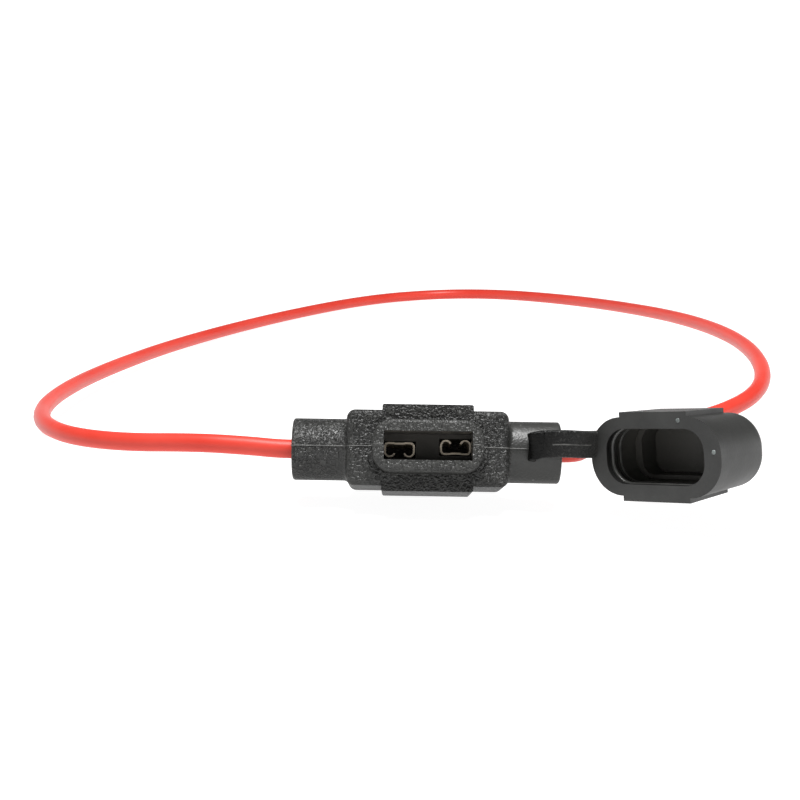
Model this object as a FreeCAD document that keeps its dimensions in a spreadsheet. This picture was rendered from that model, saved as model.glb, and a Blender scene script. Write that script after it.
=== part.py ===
import FreeCAD, Part
import math
import os
import Sketcher

# Inline mini blade fuse holder with a tethered cap and a closed loop of wire.
# Lengths are millimetres, angles degrees. The holder's own frame has X along the wires,
# -Y out of the fuse pocket and Z square to the parting plane. The resting frame has +Z up.

doc = FreeCAD.newDocument("fuse_holder")
V = FreeCAD.Vector

sizes = {
    # moulded body
    "left_end": 18.8,
    "right_end": 18.6,
    "boss_radius": 4.35,
    "boss_edge": 0.4,
    "block_width": 22.4,
    "block_height": 10.5,
    "block_corner": 1.2,
    "front_face": 5.2,
    "body_depth": 12.0,
    "band_width": 12.6,
    "band_height": 12.0,
    "band_corner": 0.3,
    "front_edge": 0.8,
    "boss_fillet": 0.6,
    "collar_width": 15.3,
    "collar_height": 7.36,
    "collar_corner": 2.9,
    "collar_length": 3.8,
    "collar_draft": 2.0,
    "collar_edge": 0.55,
    "plinth_step": 0.55,
    "plinth_length": 0.4,
    # fuse pocket and its carrier
    "pocket_width": 12.0,
    "pocket_height": 3.95,
    "pocket_depth": 5.0,
    "carrier_wall": 0.65,
    "carrier_inset": 0.4,
    "carrier_back": 4.4,
    "seat_play": 0.02,
    "terminal_stagger": 0.44,
    "terminal_play": 0.12,
    # spring terminals
    "strip_thickness": 0.25,
    "terminal_width": 4.25,
    "terminal_length": 7.0,
    "bend_radius": 0.5,
    "roll_radius": 0.8,
    "roll_turn": 160.0,
    "dent_width": 1.2,
    "dent_drop": 0.15,
    "terminal_height": 2.1,
    "terminal_inset": 0.1,
    "crimp_clear": 0.25,
    "crimp_length": 4.0,
    "crimp_gap": 0.5,
    "tab_width": 2.4,
    "tab_overlap": 0.42,
    # wire
    "wire_diameter": 2.7,
    "core_diameter": 1.3,
    "strip_length": 4.6,
    "chamber_radius": 1.75,
    # cap
    "cap_width": 20.7,
    "cap_height": 10.8,
    "cap_corner": 5.0,
    "cap_depth": 11.9,
    "cap_draft": 1.7,
    "cap_edge": 1.6,
    "cap_fit": 0.12,
    "cap_lead": 6.9,
    "cap_floor": 1.6,
    "ledge": 1.1,
    "groove_depth": 0.3,
    "groove_width": 0.55,
    "groove_start": 0.9,
    "groove_pitch": 1.3,
    "groove_count": 2,
    "rib_width": 10.7,
    "rib_height": 0.7,
    "rib_length": 9.7,
    "mouth_gap": 0.1,
    # tether
    "strap_width": 3.8,
    "strap_thickness": 1.0,
    "strap_root": 14.9,
    "strap_rise": 0.62,
    "strap_cap_rise": 1.6,
    "strap_sink": 0.45,
    "curl_back": 0.5,
    "curl_reach": 1.7,
    "curl_out": 0.95,
    "tip_inset": 0.6,
    "tip_depth": 0.8,
    "lead_length": 3.4,
    "strap_split": 18.6,
    # the two bends and the push that close the cap
    "hinge_x": 14.65,
    "hinge_y": 4.3,
    "hinge_lean_x": 0.122,
    "hinge_lean_y": 0.122,
    "swing_angle": 144.7,
    "bend_x": 20.05,
    "bend_y": 7.09,
    "bend_z": 0.22,
    "bend_lean_x": 0.734,
    "bend_lean_y": 1.0755,
    "bend_angle": 16.72,
    "seat_travel": 5.0,
    # how it lies
    "lean_angle": 19.0,
    "axis_height": 7.9,
    "origin_x": -13.1,
    "origin_y": 4.01,
}

sheet = doc.addObject("Spreadsheet::Sheet", "Sizes")
for row, (name, value) in enumerate(sizes.items(), start=1):
    sheet.set("A%d" % row, name)
    sheet.set("B%d" % row, str(value))
    sheet.setAlias("B%d" % row, name)
doc.recompute()


def size(name):
    return float(sheet.get(name))


def origin_plane(body, role):
    return next(f for f in body.Origin.OriginFeatures if f.Role == role)


def new_body(label):
    body = doc.addObject("PartDesign::Body", label)
    body.Label = label
    return body


def new_sketch(body, name, role, offset):
    """offset is an expression: how far the sketch lies along its plane's normal."""
    sketch = body.newObject("Sketcher::SketchObject", name)
    sketch.AttachmentSupport = [(origin_plane(body, role), "")]
    sketch.MapMode = "FlatFace"
    sketch.setExpression("AttachmentOffset.Base.z", offset)
    return sketch


def name_constraint(sketch, constraint, name, expression):
    index = sketch.addConstraint(constraint)
    sketch.renameConstraint(index, name)
    sketch.setExpression("Constraints." + name, expression)


def draw_rectangle(sketch, width, height, centre_x="0", centre_y="0"):
    """A rectangle whose width, height and centre are expressions."""
    corners = [V(-2, -1, 0), V(2, -1, 0), V(2, 1, 0), V(-2, 1, 0)]
    for k in range(4):
        sketch.addGeometry(Part.LineSegment(corners[k], corners[(k + 1) % 4]), False)
    for k in range(4):
        sketch.addConstraint(Sketcher.Constraint("Coincident", k, 2, (k + 1) % 4, 1))
    for k in (0, 2):
        sketch.addConstraint(Sketcher.Constraint("Horizontal", k))
        sketch.addConstraint(Sketcher.Constraint("Vertical", k + 1))
    sketch.addGeometry(Part.Point(V(0, 0, 0)), True)
    sketch.addConstraint(Sketcher.Constraint("Symmetric", 0, 1, 1, 2, 4, 1))
    name_constraint(sketch, Sketcher.Constraint("DistanceX", 0, 1, 0, 2, 4.0), "width", width)
    name_constraint(sketch, Sketcher.Constraint("DistanceY", 1, 1, 1, 2, 2.0), "height", height)
    name_constraint(sketch, Sketcher.Constraint("DistanceX", -1, 1, 4, 1, 0.0), "centre_x", centre_x)
    name_constraint(sketch, Sketcher.Constraint("DistanceY", -1, 1, 4, 1, 0.0), "centre_y", centre_y)


def draw_circle(sketch, radius):
    sketch.addGeometry(Part.Circle(V(0, 0, 0), V(0, 0, 1), 1.0), False)
    sketch.addConstraint(Sketcher.Constraint("Coincident", 0, 3, -1, 1))
    name_constraint(sketch, Sketcher.Constraint("Radius", 0, 1.0), "radius", radius)


def draw_rounded(sketch, width, height, corner):
    """A rectangle with round corners about the origin; the sizes are expressions."""
    points = [(-3, -2), (3, -2), (4, -1), (4, 1), (3, 2), (-3, 2), (-4, 1), (-4, -1)]
    centres = [None, (3, -1), None, (3, 1), None, (-3, 1), None, (-3, -1)]
    starts = [0, -90, 0, 0, 0, 90, 0, 180]
    for k in range(8):
        if centres[k] is None:
            a, b = points[k], points[(k + 1) % 8]
            sketch.addGeometry(Part.LineSegment(V(a[0], a[1], 0), V(b[0], b[1], 0)), False)
        else:
            circle = Part.Circle(V(centres[k][0], centres[k][1], 0), V(0, 0, 1), 1.0)
            first = math.radians(starts[k])
            arc = Part.ArcOfCircle(circle, first, first + math.pi / 2)
            sketch.addGeometry(arc, False)
    for k in range(8):
        sketch.addConstraint(Sketcher.Constraint("Tangent", k, 2, (k + 1) % 8, 1))
    for k in (3, 5, 7):
        sketch.addConstraint(Sketcher.Constraint("Equal", 1, k))
    for k in (0, 4):
        sketch.addConstraint(Sketcher.Constraint("Horizontal", k))
    for k in (2, 6):
        sketch.addConstraint(Sketcher.Constraint("Vertical", k))
    sketch.addConstraint(Sketcher.Constraint("Symmetric", 1, 3, 5, 3, -1, 1))
    name_constraint(sketch, Sketcher.Constraint("Radius", 1, 1.0), "corner", corner)
    name_constraint(
        sketch, Sketcher.Constraint("DistanceX", 5, 3, 1, 3, 6.0), "across", "%s - 2 * (%s)" % (width, corner)
    )
    name_constraint(
        sketch, Sketcher.Constraint("DistanceY", 1, 3, 5, 3, 2.0), "up", "%s - 2 * (%s)" % (height, corner)
    )


def grow(body, kind, name, sketch, length, reverse=False, taper=None):
    """A Pad or Pocket of the sketch; length and taper are expressions."""
    feature = body.newObject("PartDesign::" + kind, name)
    feature.Profile = sketch
    feature.setExpression("Length", length)
    feature.Reversed = reverse
    if taper:
        feature.setExpression("TaperAngle", taper)
    sketch.Visibility = False
    doc.recompute()
    return feature


def round_edges(body, name, base, radius, chosen):
    names = ["Edge%d" % (k + 1) for k, edge in enumerate(base.Shape.Edges) if chosen(edge)]
    feature = body.newObject("PartDesign::Fillet", name)
    feature.Base = (base, names)
    feature.setExpression("Radius", radius)
    doc.recompute()
    return feature


def is_along(edge, axis):
    if not isinstance(edge.Curve, Part.Line):
        return False
    return abs(abs(edge.Curve.Direction.dot(axis)) - 1) < 1e-6


def at_plane(edge, axis, value):
    box = edge.BoundBox
    low = V(box.XMin, box.YMin, box.ZMin).dot(axis)
    high = V(box.XMax, box.YMax, box.ZMax).dot(axis)
    return abs(low - value) < 1e-4 and abs(high - value) < 1e-4


def is_round(edge):
    return isinstance(edge.Curve, Part.Circle) and abs(edge.Curve.Radius - size("boss_radius")) < 1e-4


along_x, along_y = V(1, 0, 0), V(0, 1, 0)

# Moulded body: block, band, wire bosses and the collar round the pocket
holder = new_body("holder_body")

sketch = new_sketch(holder, "block_outline", "XZ_Plane", "Sizes.front_face")
draw_rectangle(sketch, "Sizes.block_width", "Sizes.block_height")
block = grow(holder, "Pad", "block", sketch, "Sizes.body_depth", reverse=True)
block = round_edges(holder, "block_corners", block, "Sizes.block_corner", lambda e: is_along(e, along_y))
block = round_edges(
    holder, "block_edges", block, "Sizes.front_edge", lambda e: at_plane(e, along_y, -size("front_face"))
)

sketch = new_sketch(holder, "band_outline", "XZ_Plane", "Sizes.front_face")
draw_rounded(sketch, "Sizes.band_width", "Sizes.band_height", "Sizes.band_corner")
grow(holder, "Pad", "band", sketch, "Sizes.body_depth", reverse=True)

sketch = new_sketch(holder, "boss_outline", "YZ_Plane", "Sizes.right_end")
draw_circle(sketch, "Sizes.boss_radius")
bosses = grow(holder, "Pad", "bosses", sketch, "Sizes.left_end + Sizes.right_end", reverse=True)
bosses = round_edges(
    holder,
    "boss_edges",
    bosses,
    "Sizes.boss_edge",
    lambda e: at_plane(e, along_x, -size("left_end")) or at_plane(e, along_x, size("right_end")),
)

bosses = round_edges(
    holder,
    "boss_fillets",
    bosses,
    "Sizes.boss_fillet",
    lambda e: at_plane(e, along_x, -size("block_width") / 2) and is_round(e)
    or at_plane(e, along_x, size("block_width") / 2) and is_round(e),
)

sketch = new_sketch(holder, "plinth_outline", "XZ_Plane", "Sizes.front_face")
draw_rounded(
    sketch,
    "Sizes.collar_width + 2 * Sizes.plinth_step",
    "Sizes.collar_height + Sizes.plinth_step",
    "Sizes.collar_corner + Sizes.plinth_step / 2",
)
grow(holder, "Pad", "plinth", sketch, "Sizes.plinth_length")

sketch = new_sketch(holder, "collar_outline", "XZ_Plane", "Sizes.front_face")
draw_rounded(sketch, "Sizes.collar_width", "Sizes.collar_height", "Sizes.collar_corner")
collar = grow(holder, "Pad", "collar", sketch, "Sizes.collar_length", taper="-Sizes.collar_draft")
collar_front = size("front_face") + size("collar_length")
collar = round_edges(
    holder, "collar_edges", collar, "Sizes.collar_edge", lambda e: at_plane(e, along_y, -collar_front)
)

front = "Sizes.front_face + Sizes.collar_length"
sketch = new_sketch(holder, "pocket_outline", "XZ_Plane", front)
draw_rectangle(sketch, "Sizes.pocket_width", "Sizes.pocket_height")
grow(holder, "Pocket", "pocket", sketch, "Sizes.pocket_depth")

carrier_width = "Sizes.pocket_width + 2 * Sizes.carrier_wall"
carrier_height = "Sizes.pocket_height + 2 * Sizes.carrier_wall"
sketch = new_sketch(holder, "cavity_outline", "XZ_Plane", front + " - Sizes.carrier_inset")
draw_rectangle(sketch, carrier_width + " + 2 * Sizes.seat_play", carrier_height + " + 2 * Sizes.seat_play")
carrier_length = front + " - Sizes.carrier_inset + Sizes.carrier_back"
grow(holder, "Pocket", "carrier_cavity", sketch, carrier_length)

crimp_start = "Sizes.pocket_width / 2 + Sizes.carrier_wall + Sizes.crimp_clear"
chamber_end = crimp_start + " + Sizes.strip_length + Sizes.crimp_gap"
sketch = new_sketch(holder, "chamber_outline", "YZ_Plane", chamber_end)
draw_circle(sketch, "Sizes.chamber_radius")
grow(holder, "Pocket", "crimp_chambers", sketch, "2 * (%s)" % chamber_end)

sketch = new_sketch(holder, "bore_outline", "YZ_Plane", "Sizes.right_end")
draw_circle(sketch, "Sizes.wire_diameter / 2")
grow(holder, "Pocket", "wire_bores", sketch, "Sizes.left_end + Sizes.right_end")

# Hard carrier that lines the pocket and holds the two terminals
carrier = new_body("terminal_carrier")

sketch = new_sketch(carrier, "carrier_outline", "XZ_Plane", front + " - Sizes.carrier_inset")
draw_rectangle(sketch, carrier_width, carrier_height)
grow(carrier, "Pad", "carrier_block", sketch, carrier_length + " - Sizes.seat_play", reverse=True)

sketch = new_sketch(carrier, "fuse_outline", "XZ_Plane", front + " - Sizes.carrier_inset")
draw_rectangle(sketch, "Sizes.pocket_width", "Sizes.pocket_height")
grow(carrier, "Pocket", "fuse_pocket", sketch, "Sizes.pocket_depth - Sizes.carrier_inset")

floor_level = front + " - Sizes.pocket_depth"
for side, label in ((-1, "left"), (1, "right")):
    sketch = new_sketch(carrier, label + "_slot_outline", "XZ_Plane", floor_level)
    draw_rectangle(
        sketch,
        "Sizes.terminal_width + 2 * Sizes.terminal_play",
        "Sizes.terminal_height + 2 * Sizes.terminal_play",
        "%d * (Sizes.pocket_width - Sizes.terminal_width) / 2" % side,
        "%d * Sizes.terminal_stagger / 2" % side,
    )
    depth = "Sizes.terminal_length + Sizes.terminal_inset + Sizes.terminal_play"
    grow(carrier, "Pocket", label + "_slot", sketch, depth)
    sketch = new_sketch(carrier, label + "_tab_outline", "YZ_Plane", "%d * (%s) / 2" % (side, carrier_width))
    draw_rectangle(
        sketch, "Sizes.tab_width + 2 * Sizes.terminal_play", "Sizes.core_diameter + 4 * Sizes.strip_thickness"
    )
    tab_reach = "Sizes.carrier_wall + Sizes.terminal_width / 2"
    grow(carrier, "Pocket", label + "_tab_slot", sketch, tab_reach, side < 0)


def strip_outline(moves, thickness, start, heading):
    """Closed outline, in X and Z, of a bent strip that follows lines and arcs."""
    place, angle = start, heading
    left, right = [], []

    def beside(point, turned, side):
        normal = math.radians(turned + 90)
        return V(
            point.x + side * thickness / 2 * math.cos(normal),
            0,
            point.z + side * thickness / 2 * math.sin(normal),
        )

    for kind, first, second in moves:
        if kind == "line":
            step = V(first * math.cos(math.radians(angle)), 0, first * math.sin(math.radians(angle)))
            for side, edges in ((1, left), (-1, right)):
                a = beside(place, angle, side)
                edges.append(Part.makeLine(a, a + step))
            place = place + step
        else:
            radius, turn = first, second
            sense = 1 if turn > 0 else -1
            normal = math.radians(angle + 90)
            centre = V(
                place.x + sense * radius * math.cos(normal), 0, place.z + sense * radius * math.sin(normal)
            )

            def along(share, side):
                swing = math.radians(angle + turn * share - 90 * sense)
                reach = radius - sense * side * thickness / 2
                return V(centre.x + reach * math.cos(swing), 0, centre.z + reach * math.sin(swing))

            for side, edges in ((1, left), (-1, right)):
                edges.append(Part.Arc(along(0, side), along(0.5, side), along(1, side)).toShape())
            swing = math.radians(angle + turn - 90 * sense)
            place = V(centre.x + radius * math.cos(swing), 0, centre.z + radius * math.sin(swing))
            angle += turn
    ends = [
        Part.makeLine(left[0].valueAt(left[0].FirstParameter), right[0].valueAt(right[0].FirstParameter)),
        Part.makeLine(left[-1].valueAt(left[-1].LastParameter), right[-1].valueAt(right[-1].LastParameter)),
    ]
    return Part.Wire(Part.__sortEdges__(left + right + ends))


def terminal_shape():
    """The right-hand terminal: flat back below, arms rolled inward above, crimp barrel at its side."""
    thick = size("strip_thickness")
    half = size("terminal_width") / 2 - thick / 2
    roll = size("roll_radius") - thick / 2
    bend = size("bend_radius")
    dent, drop = size("dent_width"), size("dent_drop")
    slope = 30.0
    ramp = drop / math.tan(math.radians(slope / 2)) / 2
    rise = size("terminal_height") - thick / 2 - bend - size("roll_radius")
    half_moves = [
        ("line", dent / 2, 0),
        ("arc", ramp, -slope),
        ("arc", ramp, slope),
        ("line", half - bend - dent / 2 - 2 * ramp * math.sin(math.radians(slope)), 0),
        ("arc", bend, 90),
        ("line", rise, 0),
        ("arc", roll, size("roll_turn")),
    ]
    low = -size("terminal_height") / 2 + thick / 2
    start = V(0, 0, low + 2 * ramp * (1 - math.cos(math.radians(slope))))
    outline = strip_outline(half_moves, thick, start, 0)
    half_strip = Part.Face(outline).extrude(V(0, size("terminal_length"), 0))
    other_half = half_strip.mirror(V(0, 0, 0), V(1, 0, 0))
    receptacle = half_strip.fuse(other_half)

    centre_x = (size("pocket_width") - size("terminal_width")) / 2
    crimp_start = size("pocket_width") / 2 + size("carrier_wall") + size("crimp_clear")
    stagger = size("terminal_stagger") / 2
    front_y = -(size("front_face") + size("collar_length") - size("pocket_depth")) + size("terminal_inset")
    receptacle.translate(V(centre_x, front_y, stagger))

    core = size("core_diameter") / 2
    plate_low = stagger - size("terminal_height") / 2
    tab_start = centre_x + size("terminal_width") / 2 - thick - size("tab_overlap")
    tab = Part.makeBox(
        crimp_start + thick - tab_start,
        size("tab_width"),
        thick,
        V(tab_start, -size("tab_width") / 2, plate_low),
    )
    barrel = Part.makeCylinder(core + thick, size("crimp_length"), V(crimp_start, 0, 0), V(1, 0, 0))
    hole = Part.makeCylinder(core, size("crimp_length"), V(crimp_start, 0, 0), V(1, 0, 0))
    seam = Part.makeBox(
        size("crimp_length"), thick / 3, core + thick, V(crimp_start, -thick / 6, core / 2)
    )
    solid = receptacle.fuse([tab, barrel]).cut([hole, seam]).removeSplitter()
    return solid.Solids[0] if len(solid.Solids) == 1 else solid


def wire_end_shape():
    """The stripped end of the wire inside the right-hand boss."""
    start = size("pocket_width") / 2 + size("carrier_wall") + size("crimp_clear")
    sleeve_start = start + size("strip_length")
    core = Part.makeCylinder(size("core_diameter") / 2, size("strip_length"), V(start, 0, 0), V(1, 0, 0))
    sleeve = Part.makeCylinder(
        size("wire_diameter") / 2, size("right_end") - sleeve_start, V(sleeve_start, 0, 0), V(1, 0, 0)
    )
    return core.fuse(sleeve).removeSplitter()


def add_shape(label, shape):
    feature = doc.addObject("Part::Feature", label)
    feature.Label = label
    feature.Shape = shape
    return feature


half_turn = FreeCAD.Placement(V(), FreeCAD.Rotation(V(0, 1, 0), 180)).toMatrix()
terminal = terminal_shape()
terminal_right = add_shape("terminal_right", terminal)
terminal_left = add_shape("terminal_left", terminal.transformed(half_turn, True))
wire_end = wire_end_shape()
wire_end_right = add_shape("wire_end_right", wire_end)
left_sleeve = wire_end.transformed(half_turn, True)
longer = size("left_end") - size("right_end")
if longer > 0:
    stub = Part.makeCylinder(size("wire_diameter") / 2, longer, V(-size("left_end"), 0, 0), V(1, 0, 0))
    left_sleeve = left_sleeve.fuse(stub).removeSplitter()
wire_end_left = add_shape("wire_end_left", left_sleeve)

# Cap, drawn where it sits when it is pushed home over the collar
cap = new_body("cap")
mouth = "Sizes.front_face + Sizes.plinth_length + Sizes.mouth_gap"

sketch = new_sketch(cap, "cap_outline", "XZ_Plane", mouth)
draw_rounded(sketch, "Sizes.cap_width", "Sizes.cap_height", "Sizes.cap_corner")
shell = grow(cap, "Pad", "cap_block", sketch, "Sizes.cap_depth", taper="-Sizes.cap_draft")
mouth_level = size("front_face") + size("plinth_length") + size("mouth_gap")
cap_back = mouth_level + size("cap_depth")
shell = round_edges(cap, "cap_back_edge", shell, "Sizes.cap_edge", lambda e: at_plane(e, along_y, -cap_back))

sketch = new_sketch(cap, "rib_outline", "XZ_Plane", mouth)
draw_rectangle(sketch, "Sizes.rib_width", "Sizes.cap_height + 2 * Sizes.rib_height")
grow(cap, "Pad", "ribs", sketch, "Sizes.rib_length", taper="-Sizes.cap_draft")

opening_width = "Sizes.collar_width + 2 * Sizes.cap_fit"
opening_height = "Sizes.collar_height + 2 * Sizes.cap_fit"
opening_corner = "Sizes.collar_corner + Sizes.cap_fit"
sketch = new_sketch(cap, "mouth_outline", "XZ_Plane", mouth)
draw_rounded(sketch, opening_width, opening_height, opening_corner)
grow(cap, "Pocket", "mouth", sketch, "Sizes.cap_lead", reverse=True)

sketch = new_sketch(cap, "inner_outline", "XZ_Plane", mouth)
draw_rounded(
    sketch,
    "(%s) - 2 * Sizes.ledge" % opening_width,
    "(%s) - Sizes.ledge" % opening_height,
    "(%s) - Sizes.ledge" % opening_corner,
)
grow(cap, "Pocket", "inner_space", sketch, "Sizes.cap_depth - Sizes.cap_floor", reverse=True)

for k in range(int(size("groove_count"))):
    level = "%s + Sizes.groove_start + %d * Sizes.groove_pitch" % (mouth, k)
    sketch = new_sketch(cap, "groove_outline_%d" % (k + 1), "XZ_Plane", level)
    draw_rounded(
        sketch,
        "(%s) + 2 * Sizes.groove_depth" % opening_width,
        "(%s) + 2 * Sizes.groove_depth" % opening_height,
        "(%s) + Sizes.groove_depth" % opening_corner,
    )
    grow(cap, "Pocket", "groove_%d" % (k + 1), sketch, "Sizes.groove_width", reverse=True)

# Where everything lies at rest
lie = FreeCAD.Placement(
    V(size("origin_x"), size("origin_y"), size("axis_height")),
    FreeCAD.Rotation(V(1, 0, 0), -size("lean_angle")),
)
hinge_point = V(size("hinge_x"), -size("hinge_y"), 0)
hinge_axis = V(size("hinge_lean_x"), -size("hinge_lean_y"), 1)
swing = FreeCAD.Rotation(hinge_axis, size("swing_angle"))
bend_point = V(size("bend_x"), -size("bend_y"), size("bend_z"))
bend_axis = V(size("bend_lean_x"), size("bend_lean_y"), 1)
bend = FreeCAD.Rotation(bend_axis, -size("bend_angle"))
open_cap = (
    FreeCAD.Placement(bend_point - bend.multVec(bend_point), bend)
    * FreeCAD.Placement(hinge_point - swing.multVec(hinge_point), swing)
    * FreeCAD.Placement(V(0, -size("seat_travel"), 0), FreeCAD.Rotation())
)


def strap_shape():
    """The tether from the right-hand boss, round its curl and on to the rim of the open cap."""
    wide, thick = size("strap_width"), size("strap_thickness")
    rise, root_x = size("strap_rise"), size("strap_root")
    root_y = -size("boss_radius") + size("strap_sink")
    turn_x, turn_y = root_x - size("curl_back"), root_y - size("curl_reach") / 2
    out_y = root_y - size("curl_reach") - thick / 4
    tip_x, tip_z = size("cap_width") / 2 - size("tip_inset"), size("strap_cap_rise")
    tip = open_cap.multVec(V(tip_x, -mouth_level - size("tip_depth"), tip_z))
    lead = open_cap.multVec(V(tip_x, -mouth_level + size("lead_length"), tip_z))
    route = [
        V(root_x, root_y, rise),
        V(turn_x, turn_y, rise),
        V(turn_x + size("curl_out") / 5, root_y - size("curl_reach"), rise),
        V(root_x + size("curl_out"), out_y, rise),
        (V(root_x + size("curl_out"), out_y, rise) + lead) / 2 + V(thick / 3, -thick / 3, thick / 5),
        lead,
        tip,
    ]
    curve = Part.BSplineCurve()
    curve.interpolate(route)
    spine = Part.Wire([curve.toShape()])
    side = curve.tangent(curve.FirstParameter)[0].cross(V(0, 0, 1)).normalize() * (thick / 2)
    up = V(0, 0, wide / 2)
    corners = [route[0] + side + up, route[0] - side + up, route[0] - side - up, route[0] + side - up]
    sweep = Part.BRepOffsetAPI.MakePipeShell(spine)
    sweep.setBiNormalMode(V(0, 0, 1))
    sweep.add(Part.makePolygon(corners + corners[:1]))
    sweep.build()
    sweep.makeSolid()
    return sweep.shape()


doc.recompute()
open_cap_shape = cap.Shape.transformed(open_cap.toMatrix(), True)
whole_strap = strap_shape().cut(holder.Shape).cut(open_cap_shape)
whole_strap = max(whole_strap.Solids, key=lambda solid: solid.Volume)
far = 2 * size("cap_width")
root_side = Part.makeBox(far, 2 * far, 2 * far, V(size("strap_split") - far, -far, -far))
strap = add_shape("strap", whole_strap.common(root_side).Solids[0])
strap_tip = add_shape("strap_tip", whole_strap.cut(root_side).Solids[0])

# Wire loop: one length of wire from boss to boss, leaving the floor towards the holder.
# Points are in the resting frame, from the middle of the holder's axis.
loop_points = [
    (-18.8, 0.0, 7.9),
    (-20.9, 0.0, 7.9),
    (-24.9, 0.25, 8.2),
    (-32.5, 1.2, 8.35),
    (-44.3, 4.7, 7.3),
    (-54.6, 12.3, 6.5),
    (-61.6, 26.0, 5.7),
    (-64.6, 47.0, 4.7),
    (-63.0, 77.0, 3.4),
    (-54.0, 121.0, 2.0),
    (-35.2, 166.0, 1.45),
    (-13.5, 200.0, 1.45),
    (5.9, 209.6, 2.0),
    (22.6, 203.0, 3.2),
    (37.6, 181.5, 5.1),
    (49.8, 150.0, 7.7),
    (58.2, 112.0, 10.6),
    (61.1, 76.0, 12.4),
    (59.6, 49.5, 12.1),
    (54.6, 31.2, 10.7),
    (45.2, 20.6, 9.1),
    (34.8, 15.6, 8.1),
    (27.4, 12.0, 7.7),
    (23.7, 7.6, 7.6),
    (22.5, 4.2, 7.7),
    (22.0, 2.0, 7.8),
    (21.15, 0.65, 7.9),
    (19.9, 0.0, 7.9),
    (18.6, 0.0, 7.9),
]


def loop_shape():
    shift = V(size("origin_x"), size("origin_y"), 0)
    points = [V(*p) + shift for p in loop_points]
    points[0] = lie.multVec(V(-size("left_end"), 0, 0))
    points[-1] = lie.multVec(V(size("right_end"), 0, 0))
    edges, last, radii = [], points[0], []
    for before, point, after in zip(points, points[1:], points[2:]):
        back, ahead = before - point, after - point
        turn = math.pi - back.getAngle(ahead)
        reach = 0.45 * min(back.Length, ahead.Length)
        radii.append(reach / math.tan(turn / 2))
        back.normalize()
        ahead.normalize()
        first, end = point + back * reach, point + ahead * reach
        bisector = (back + ahead).normalize()
        centre = point + bisector * (math.hypot(reach, radii[-1]))
        middle = centre - bisector * radii[-1]
        edges.append(Part.LineSegment(last, first).toShape())
        edges.append(Part.Arc(first, middle, end).toShape())
        last = end
    edges.append(Part.LineSegment(last, points[-1]).toShape())
    path = Part.Wire(edges)
    print("wire arc radii", [round(r, 1) for r in radii])
    profile = Part.Wire(
        Part.makeCircle(size("wire_diameter") / 2, points[0], edges[0].tangentAt(edges[0].FirstParameter))
    )
    tube = path.makePipeShell([profile], True, False)
    section = math.pi * size("wire_diameter") ** 2 / 4
    print("wire length", path.Length, "volume", tube.Volume, "section by length", section * path.Length)
    return tube


wire_loop = add_shape("wire_loop", loop_shape())

moulded = [holder, carrier, terminal_left, terminal_right, wire_end_left, wire_end_right, strap, strap_tip]
for part in moulded:
    part.Placement = lie
cap.Placement = lie * open_cap
doc.recompute()

parts = moulded + [cap, wire_loop]
for item in doc.Objects:
    if "Invalid" in item.State or "Error" in item.State:
        raise RuntimeError("failed: " + item.Name)
os.makedirs("parts", exist_ok=True)
for part in parts:
    shape = part.Shape
    if shape.isNull() or not shape.isValid() or len(shape.Solids) != 1:
        raise RuntimeError("bad shape: %s %d" % (part.Label, len(shape.Solids)))
    print(part.Label, "volume", round(shape.Volume, 2), "box", shape.BoundBox)
    shape.exportStep("parts/%s.step" % part.Label)
whole = Part.makeCompound([part.Shape for part in parts if part is not wire_loop])
print("without wire", whole.BoundBox)
print("hinge point", lie.multVec(hinge_point), "axis", lie.Rotation.multVec(hinge_axis.normalize()))
print("bend point", lie.multVec(bend_point), "axis", lie.Rotation.multVec(bend_axis.normalize()))
print("mouth direction", (lie.Rotation * open_cap.Rotation).multVec(V(0, 1, 0)))
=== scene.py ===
import bpy
import math
from mathutils import Matrix, Vector


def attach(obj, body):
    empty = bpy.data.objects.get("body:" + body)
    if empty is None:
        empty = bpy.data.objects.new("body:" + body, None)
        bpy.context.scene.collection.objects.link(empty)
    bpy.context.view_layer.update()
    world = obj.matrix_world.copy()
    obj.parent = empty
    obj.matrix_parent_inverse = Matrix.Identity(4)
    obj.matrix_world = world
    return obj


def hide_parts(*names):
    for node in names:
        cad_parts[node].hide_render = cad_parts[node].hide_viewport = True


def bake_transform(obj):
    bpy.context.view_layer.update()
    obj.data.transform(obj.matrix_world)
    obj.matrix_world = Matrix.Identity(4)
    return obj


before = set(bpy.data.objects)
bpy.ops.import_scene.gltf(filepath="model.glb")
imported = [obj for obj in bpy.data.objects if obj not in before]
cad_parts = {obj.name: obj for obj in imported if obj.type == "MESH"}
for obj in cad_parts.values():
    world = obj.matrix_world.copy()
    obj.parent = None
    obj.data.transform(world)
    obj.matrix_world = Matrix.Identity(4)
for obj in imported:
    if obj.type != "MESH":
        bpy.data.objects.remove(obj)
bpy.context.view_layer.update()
mm = 0.001

# The holder lies leaning back a little; its own frame has x along the wires and -y out of the pocket
resting = {"leanDegrees": 19, "axisMiddle": (-13.1, 4.01, 7.9)}
# The cap is drawn where it sits over the collar, pulled off, swung round the strap's root and let droop
opened = {
    "pullOff": 5.0,
    "swing": {"at": (14.65, -4.3, 0), "axis": (0.122, -0.122, 1), "degrees": 144.7},
    "droop": {"at": (20.05, -7.09, 0.22), "axis": (0.734, 1.0755, 1), "degrees": -16.72},
}

lie = Matrix.Translation(Vector(resting["axisMiddle"])) @ Matrix.Rotation(
    -math.radians(resting["leanDegrees"]), 4, "X"
)


def turnAbout(bend):
    place = Matrix.Translation(Vector(bend["at"]))
    return place @ Matrix.Rotation(math.radians(bend["degrees"]), 4, Vector(bend["axis"])) @ place.inverted()


lieCap = (
    lie
    @ turnAbout(opened["droop"])
    @ turnAbout(opened["swing"])
    @ Matrix.Translation((0, -opened["pullOff"], 0))
)


def fromHolder(x, y, z):
    return (lie @ Vector((x, y, z))) * mm


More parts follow.
